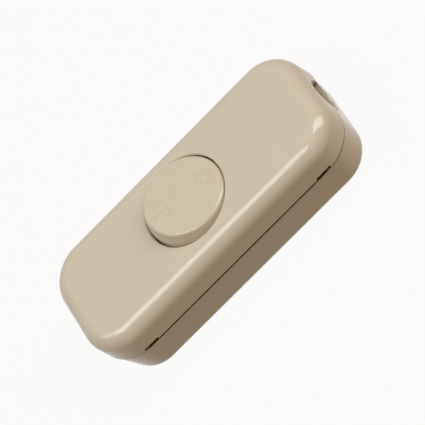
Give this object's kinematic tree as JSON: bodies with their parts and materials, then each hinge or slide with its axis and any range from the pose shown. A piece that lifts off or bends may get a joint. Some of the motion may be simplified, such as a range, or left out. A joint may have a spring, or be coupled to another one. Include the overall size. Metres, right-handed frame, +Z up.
{
  "type": "inline cord switch",
  "caption": "Inline cord switch: long rounded two-part casing with a round tilting rocker button and a cord hole at each end.",
  "frame": {"origin": "centre of the flat underside of the casing", "axes": "+X along the casing towards the end where the button is pressed down, +Y across, +Z up out of the button"},
  "size_m": [0.082, 0.034, 0.0247],
  "materials": {
    "casing": "glossy moulded plastic, cream",
    "button": "satin moulded plastic, cream",
    "carrier": "moulded thermoset, dark brown",
    "clamp": "moulded plastic, off-white",
    "plunger": "smooth low-friction plastic",
    "brass": "pressed and sawn brass",
    "copper": "pressed copper strip",
    "silver": "silver contact metal",
    "spring_steel": "bright spring wire",
    "screw": "zinc-plated steel"
  },
  "bodies": {
    "casing": {"base_shell": "casing", "top_cover": "casing", "contact_carrier": "carrier", "earth_terminal": "brass", "centre_contact_line": "brass", "fixed_contact_line": "brass", "fixed_rivet_line": "silver", "terminal_line_in": "brass", "terminal_screw_line_in": "screw", "terminal_line_out": "brass", "terminal_screw_line_out": "screw", "centre_contact_neutral": "brass", "fixed_contact_neutral": "brass", "fixed_rivet_neutral": "silver", "terminal_neutral_in": "brass", "terminal_screw_neutral_in": "screw", "terminal_neutral_out": "brass", "terminal_screw_neutral_out": "screw", "earth_screw_in": "screw", "cord_clamp_in": "clamp", "clamp_screw_in_1": "screw", "clamp_screw_in_2": "screw", "earth_screw_out": "screw", "cord_clamp_out": "clamp", "clamp_screw_out_1": "screw", "clamp_screw_out_2": "screw", "cover_screw_1": "screw", "cover_screw_2": "screw"},
    "rocker": {"rocker_button": "button", "plunger_spring_line": "spring_steel", "plunger_spring_neutral": "spring_steel"},
    "plunger_line": {"plunger_line": "plunger"},
    "plunger_neutral": {"plunger_neutral": "plunger"},
    "lever_line": {"contact_lever_line": "copper", "moving_contact_line": "silver"},
    "lever_neutral": {"contact_lever_neutral": "copper", "moving_contact_neutral": "silver"}
  },
  "joints": [
    {"name": "rocker_tilt", "type": "hinge", "parent": "casing", "child": "rocker", "pos_m": [0, 0, 0.0189], "axis": [0, -1, 0], "range_deg": [0, 22.2]},
    {"name": "lever_line_tilt", "type": "hinge", "parent": "casing", "child": "lever_line", "pos_m": [0, 0.0046, 0.0086], "axis": [0, 1, 0], "range_deg": [0, 16]},
    {"name": "plunger_line_slide", "type": "slide", "parent": "rocker", "child": "plunger_line", "axis": [0.1925, 0, 0.9813], "range_m": [0, 0.0008], "stiffness_N_per_m": 300, "springref_m": -0.002, "deforming": ["plunger_spring_line"]},
    {"name": "lever_neutral_tilt", "type": "hinge", "parent": "casing", "child": "lever_neutral", "pos_m": [0, -0.0046, 0.0086], "axis": [0, 1, 0], "range_deg": [0, 16]},
    {"name": "plunger_neutral_slide", "type": "slide", "parent": "rocker", "child": "plunger_neutral", "axis": [0.1925, 0, 0.9813], "range_m": [0, 0.0008], "stiffness_N_per_m": 300, "springref_m": -0.002, "deforming": ["plunger_spring_neutral"]}
  ],
  "couplings": [
    {"joint": "lever_line_tilt", "follows": "rocker_tilt", "ratio": 0.72},
    {"joint": "lever_neutral_tilt", "follows": "rocker_tilt", "ratio": 0.72}
  ]
}
